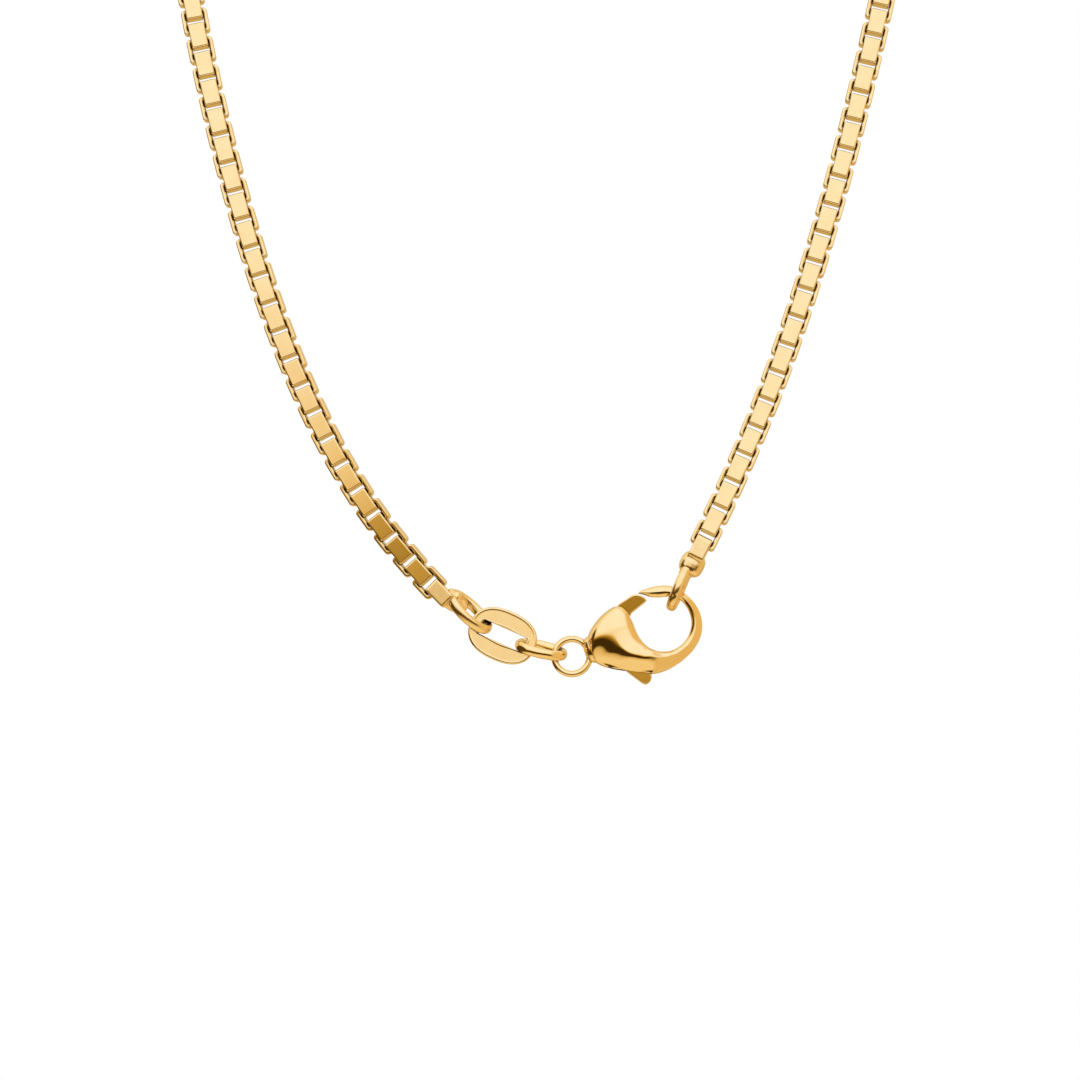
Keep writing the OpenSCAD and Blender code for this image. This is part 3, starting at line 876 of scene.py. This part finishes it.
def left_end():
    x, z, heading = station(0)
    turn = LEFT_PART_TURN + 90
    link_points, link_faces = box_link(FACE_CORNER_R, FACE_INNER_EDGE)
    link = make("left_end_part", placed(link_points, (x, z), heading, turn), link_faces, solder_gold)
    taper_w = CHAIN_W - LEFT_TAPER_INSET
    top, bottom = -LINK_L / 2 + STRIP_T, -LINK_L / 2 - LEFT_TAPER_L
    points, faces = taper(taper_w, STRIP_W, top, bottom, LEFT_WIRE / 2)
    cone = make("left_end_cone", placed(points, (x, z), heading, turn), faces, solder_gold)
    loop_lie = (left_loop_at, LEFT_LOOP_DIR, LEFT_LOOP_TURN)
    line = bent_oval(LEFT_LOOP_L, LEFT_LOOP_W, LEFT_WIRE, LEFT_LOOP_STRAIGHT)
    points, faces = wire_loop(line, LEFT_WIRE, LEFT_LOOP_ACROSS)
    loop = make("left_end_loop", placed(points, *loop_lie), faces, solder_gold)
    parts = [link, cone, loop]
    points, faces = lump((LEFT_FILL_R, LEFT_FILL_T / 2, LEFT_FILL_R))
    points = points + np.array([0, 0, (LEFT_LOOP_L - LEFT_LOOP_W) / 2 + LEFT_FILL_UP])
    parts.append(make("fill", placed(points, *loop_lie), faces, solder_gold))
    for right, away, up, r in LEFT_LUMPS:
        points, faces = lump((r, r, r))
        points = points + np.array([0, away, 0])
        parts.append(make("drop", placed(points, loop_far + np.array([right, up])), faces, solder_gold))
    piece = join("left_loop", parts)
    melt(piece)
    dress(piece, "root", "left_end")


def right_end():
    last = right_stations[0]
    link_points, link_faces = box_link(EDGE_CORNER_R, EDGE_INNER_EDGE)
    link = make("right_end_part", placed(link_points, last[:2], last[2], 90), link_faces, solder_gold)
    top, bottom = -LINK_L / 2 + STRIP_T / 2, -LINK_L / 2 - RIGHT_CAP_L
    points, faces = taper(STRIP_W, STRIP_W, top, bottom, RIGHT_CAP_END_R, -RIGHT_LINK_OUT)
    cap = make("right_end_cap", placed(points, last[:2], 90 - right_lean), faces, solder_gold)
    line = bent_oval(RIGHT_LOOP_L, RIGHT_LOOP_W, RIGHT_WIRE, RIGHT_LOOP_STRAIGHT)
    points, faces = wire_loop(line, RIGHT_WIRE, RIGHT_LOOP_ACROSS)
    points = placed(points, right_loop_at, 90 - RIGHT_LOOP_LEAN, SHOWN_RIGHT_LOOP_TURN)
    loop = make("right_end_loop", points, faces, solder_gold)
    points, faces = lump(RIGHT_BULB, RIGHT_BULB_SQUARE)
    points = points - np.array([0, 0, LINK_L / 2 + RIGHT_BULB_DROP])
    bulb = make("right_end_bulb", placed(points, last[:2], 90 - right_lean), faces, solder_gold)
    piece = join("right_loop", [link, cap, loop, bulb])
    melt(piece)
    dress(piece, "root", "right_end")


# Solder between the end ring and the claw's neck: half sizes round the ring, front to back and along
# the neck, squareness, and distance of its middle from the ring's
NECK_FILLET = (1.05, 0.8, 0.7)
NECK_FILLET_SQUARE = 0.85
NECK_FILLET_AT = 1.7


def clasp():
    slot_t = LEVER_T + 2 * LEVER_GAP
    points, faces = claw()
    body = make("claw", placed(points, (0, 0)), faces, clasp_gold)
    cut(body, fan(GATE_FAN, GATE_FAN_REACH), slot_t, pivot)
    cut(body, fan(THUMB_FAN, THUMB_FAN_REACH), slot_t, pivot)
    cut(body, circle(EYE_R + EYE_CLEAR), slot_t, pivot)
    cut(body, circle(PIN_R + PIN_END_GAP), 2 * (PIN_HALF + PIN_END_GAP), pivot)
    points, faces = wire_loop(bent_oval(2 * RING_R, 2 * RING_R, RING_WIRE, 0), RING_WIRE)
    ring = make("end_ring", placed(points, ring_at), faces, clasp_gold)
    points, faces = lump(NECK_FILLET, NECK_FILLET_SQUARE)
    fillet_at = ring_at - direction(NECK_DIR) * NECK_FILLET_AT
    fillet = make("neck_solder", placed(points, fillet_at, NECK_DIR), faces, clasp_gold)
    body = join("claw", [body, ring, fillet])
    with bpy.context.temp_override(active_object=body, selected_editable_objects=[body], object=body):
        bpy.ops.object.shade_smooth_by_angle(angle=math.radians(SHARP_FROM))
    dress(body, "root", "clasp_body")
    dress(lever(), "lever", "clasp_lever")
    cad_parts["clasp_pin"].data.materials.clear()
    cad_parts["clasp_pin"].data.materials.append(clasp_gold)


# Surroundings that the gold reflects. Elevation in degrees, colour
SKY = [
    (-90, (0.9, 0.7, 0.38)), (-54, (0.93, 0.75, 0.45)), (-46, (0.85, 0.65, 0.33)), (-38, (0.7, 0.48, 0.18)),
    (-33, (0.05, 0.025, 0.004)), (-15, (0.05, 0.025, 0.004)), (-10, (0.24, 0.13, 0.015)),
    (-7, (0.41, 0.245, 0.035)), (-4, (0.7, 0.46, 0.1)), (-2, (0.88, 0.66, 0.31)), (0, (0.93, 0.76, 0.5)),
    (4, (0.97, 0.86, 0.64)), (90, (0.97, 0.88, 0.68)),
]
# Cards: azimuth to the right of the camera, elevation, radii of the full and the faded edge, colour
CARDS = [
    (0, 45, 38, 50, (1.02, 1.02, 1.02)),
    (180, 0, 40, 75, (0.74, 0.58, 0.34)),
    (180, -30, 20, 45, (0.6, 0.4, 0.13)),
    (75, -25, 30, 50, (0.8, 0.56, 0.24)),
    (-80, 0, 24, 36, (0.1, 0.05, 0.008)),
    (80, 12, 30, 48, (0.82, 0.57, 0.24)),
]


def surroundings():
    """White to the camera. The gold reflects light above a dark band, and cards on all sides."""
    world = bpy.data.worlds.new("studio")
    world.use_nodes = True
    bpy.context.scene.world = world
    nodes, link = world.node_tree.nodes, world.node_tree.links.new
    nodes.clear()

    def maths(kind, a, b=None):
        node = nodes.new("ShaderNodeMath")
        node.operation = kind
        for socket, value in zip(node.inputs, (a, b)):
            if isinstance(value, (int, float)):
                socket.default_value = value
            elif value is not None:
                link(value, socket)
        return node.outputs[0]

    way = nodes.new("ShaderNodeTexCoord").outputs["Generated"]
    split = nodes.new("ShaderNodeSeparateXYZ")
    link(way, split.inputs[0])
    height = maths("ADD", maths("DIVIDE", maths("ARCSINE", split.outputs["Z"]), math.pi), 0.5)
    ramp = nodes.new("ShaderNodeValToRGB")
    stops = ramp.color_ramp.elements
    while len(stops) < len(SKY):
        stops.new(0.5)
    for stop, (elevation, colour) in zip(stops, SKY):
        stop.position = elevation / 180 + 0.5
        stop.color = (*colour, 1)
    link(height, ramp.inputs["Fac"])
    shown = ramp.outputs["Color"]
    for azimuth, elevation, full, faded, colour in CARDS:
        x, y = math.sin(math.radians(azimuth)), -math.cos(math.radians(azimuth))
        up = math.sin(math.radians(elevation))
        flat = math.cos(math.radians(elevation))
        towards = nodes.new("ShaderNodeVectorMath")
        towards.operation = "DOT_PRODUCT"
        towards.inputs[1].default_value = (x * flat, y * flat, up)
        link(way, towards.inputs[0])
        share = nodes.new("ShaderNodeMapRange")
        share.interpolation_type = "SMOOTHSTEP"
        share.inputs["From Min"].default_value = math.cos(math.radians(faded))
        share.inputs["From Max"].default_value = math.cos(math.radians(full))
        link(towards.outputs["Value"], share.inputs["Value"])
        mix = nodes.new("ShaderNodeMix")
        mix.data_type = "RGBA"
        link(share.outputs["Result"], mix.inputs["Factor"])
        link(shown, mix.inputs["A"])
        mix.inputs["B"].default_value = (*colour, 1)
        shown = mix.outputs["Result"]
    light = nodes.new("ShaderNodeBackground")
    link(shown, light.inputs["Color"])
    paper = nodes.new("ShaderNodeBackground")
    paper.inputs["Color"].default_value = (1, 1, 1, 1)
    path = nodes.new("ShaderNodeLightPath")
    choose = nodes.new("ShaderNodeMixShader")
    link(path.outputs["Is Camera Ray"], choose.inputs["Fac"])
    link(light.outputs[0], choose.inputs[1])
    link(paper.outputs[0], choose.inputs[2])
    out = nodes.new("ShaderNodeOutputWorld")
    link(choose.outputs[0], out.inputs["Surface"])


# Camera: the photograph's scale and the height it looks from
PHOTO_SIDE = 1080
PX_PER_MM = 13.2
HOOK_PX = (664, 625)
CAMERA_DISTANCE = 700
CAMERA_RISE = 4.5
SENSOR = 36
# Nearest and furthest distance that it sees, in metres
CLIP_M = (0.01, 50)


def camera():
    middle = PHOTO_SIDE / 2
    x = hook[0] + (middle - HOOK_PX[0]) / PX_PER_MM
    z = hook[1] + (HOOK_PX[1] - middle) / PX_PER_MM
    rise = math.radians(CAMERA_RISE)
    data = bpy.data.cameras.new("camera")
    data.sensor_width = SENSOR
    data.lens = SENSOR * CAMERA_DISTANCE / (PHOTO_SIDE / PX_PER_MM)
    data.clip_start, data.clip_end = CLIP_M
    obj = bpy.data.objects.new("camera", data)
    bpy.context.scene.collection.objects.link(obj)
    away, down = CAMERA_DISTANCE * math.cos(rise), CAMERA_DISTANCE * math.sin(rise)
    obj.location = Vector((x, -away, z - down)) * MM
    obj.rotation_euler = (math.radians(90) + rise, 0, 0)
    bpy.context.scene.camera = obj


# Floor: depth below the part, side, roughness, spots per metre, two tones
FLOOR_DROP = 110
FLOOR_SIDE = 6000
FLOOR_ROUGH = 0.9
FLOOR_NOISE = 40
FLOOR_TONES = ((0.9, 0.9, 0.89, 1), (0.93, 0.93, 0.92, 1))


def floor():
    """A pale floor, well below the camera."""
    material = bpy.data.materials.new("floor")
    material.use_nodes = True
    nodes, link = material.node_tree.nodes, material.node_tree.links.new
    shader = nodes["Principled BSDF"]
    shader.inputs["Roughness"].default_value = FLOOR_ROUGH
    grain = nodes.new("ShaderNodeTexNoise")
    grain.inputs["Scale"].default_value = FLOOR_NOISE
    tone = nodes.new("ShaderNodeValToRGB")
    for stop, shade in zip(tone.color_ramp.elements, FLOOR_TONES):
        stop.color = shade
    link(grain.outputs["Fac"], tone.inputs["Fac"])
    link(tone.outputs["Color"], shader.inputs["Base Color"])
    side, level = FLOOR_SIDE / 2, cad_low.z / MM - FLOOR_DROP
    corners = [(-side, -side, level), (side, -side, level), (side, side, level), (-side, side, level)]
    plane = make("floor", corners, [(0, 1, 2, 3)], material)
    plane.visible_glossy = False


camera()
loops_and_links()
left_end()
right_end()
clasp()
surroundings()
floor()
bpy.context.scene.view_settings.view_transform = "Standard"
